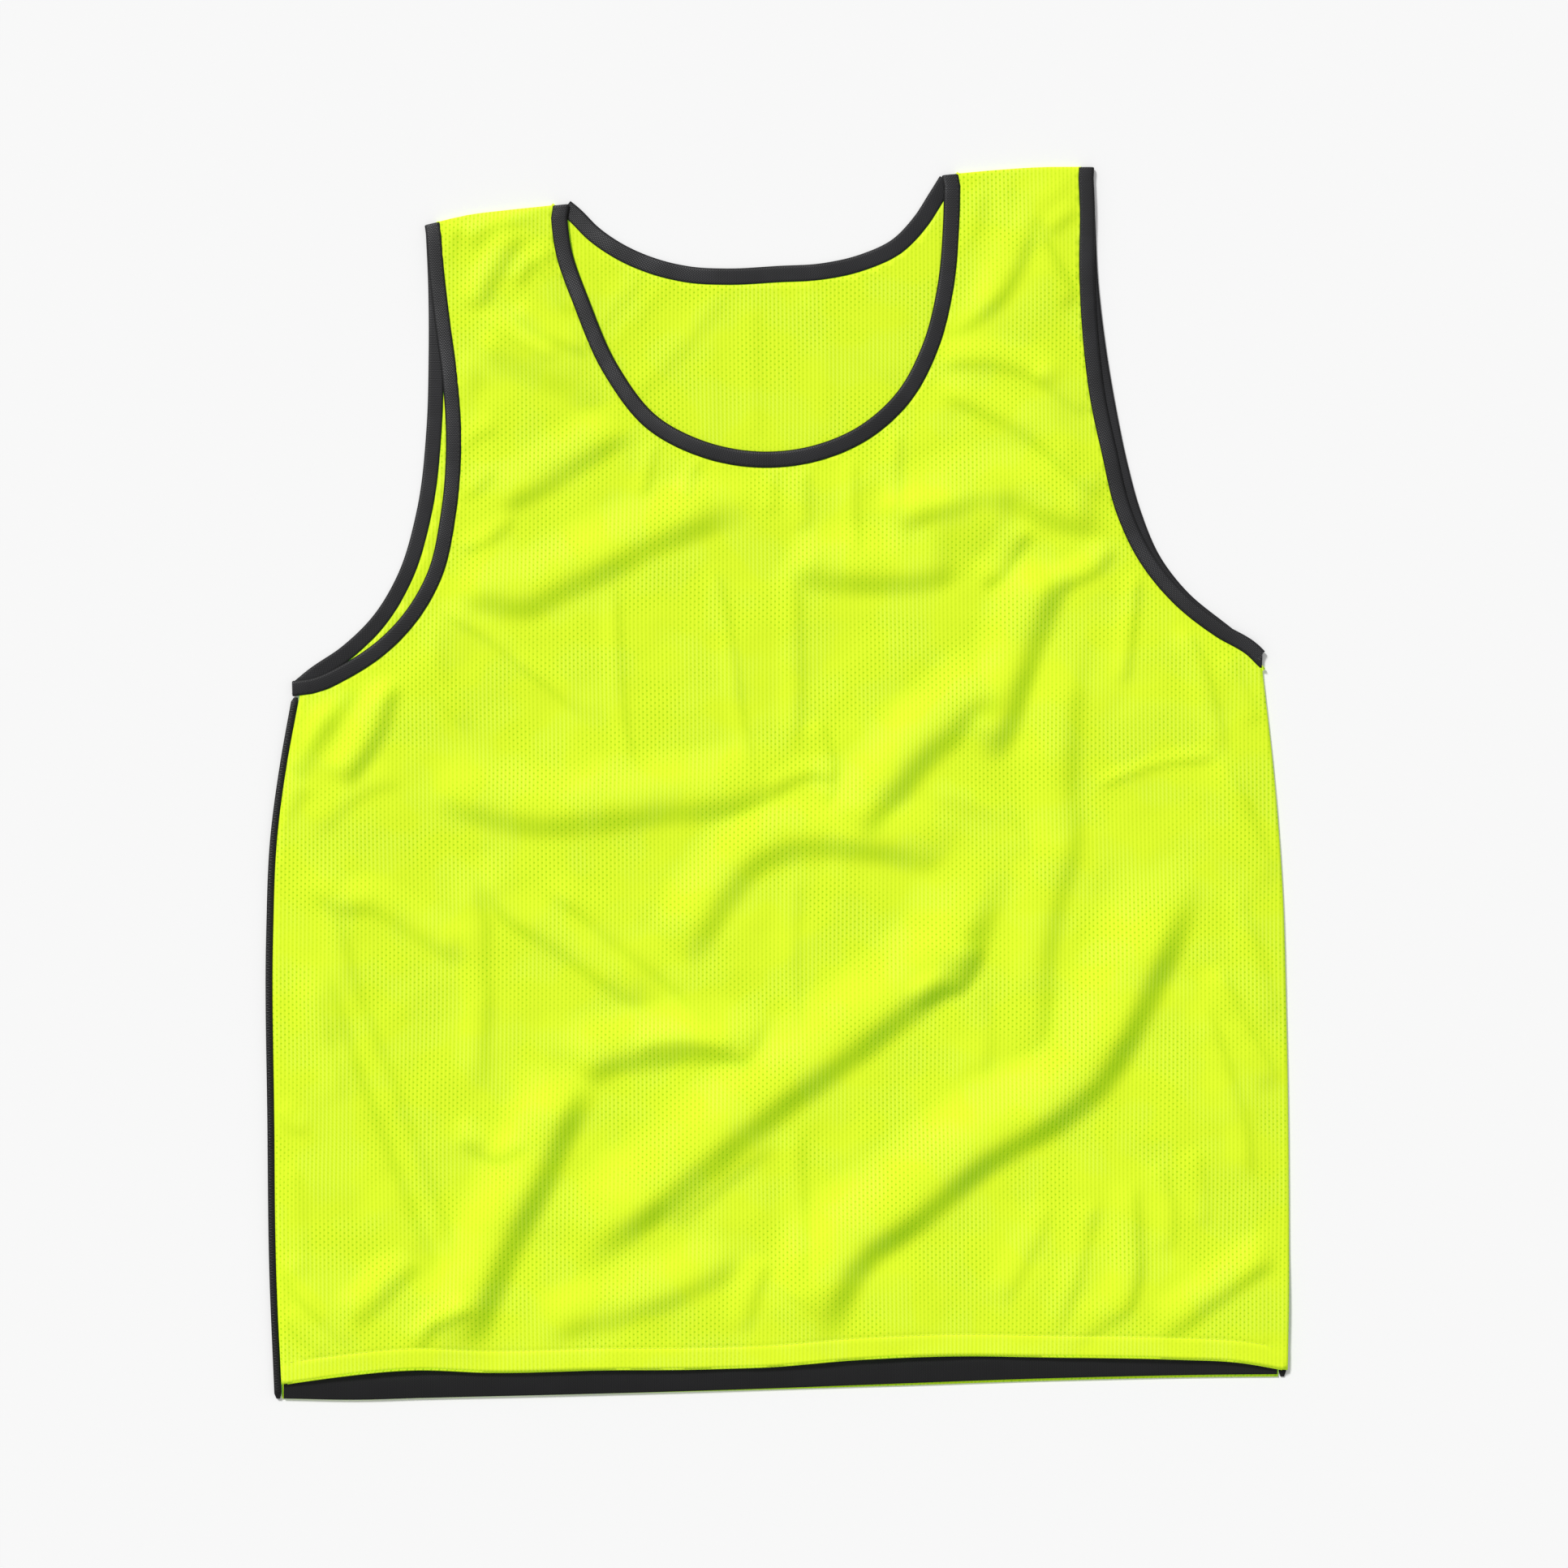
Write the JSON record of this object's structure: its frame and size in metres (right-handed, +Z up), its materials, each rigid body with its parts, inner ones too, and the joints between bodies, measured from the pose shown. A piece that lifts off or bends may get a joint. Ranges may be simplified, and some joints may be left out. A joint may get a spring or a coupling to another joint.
{
  "type": "training bib",
  "caption": "Sleeveless mesh training bib laid flat with its front up, folds across the front and dark binding round the neck and armholes.",
  "frame": {"origin": "middle of the bib's box on the surface that it lies on", "axes": "+X to the right as seen from above, +Y from the hem to the neck, +Z up, out of the front"},
  "size_m": [0.5866, 0.7066, 0.0134],
  "materials": {
    "mesh_cloth": "knitted polyester mesh with a slight sheen",
    "binding_cloth": "smooth woven tape"
  },
  "bodies": {
    "root": {"front_panel": "mesh_cloth", "back_panel": "mesh_cloth", "neck_binding": "binding_cloth", "armhole_binding_left": "binding_cloth", "armhole_binding_right": "binding_cloth", "side_piping_left": "binding_cloth", "side_piping_right": "binding_cloth", "hem_tape": "binding_cloth"}
  },
  "joints": []
}
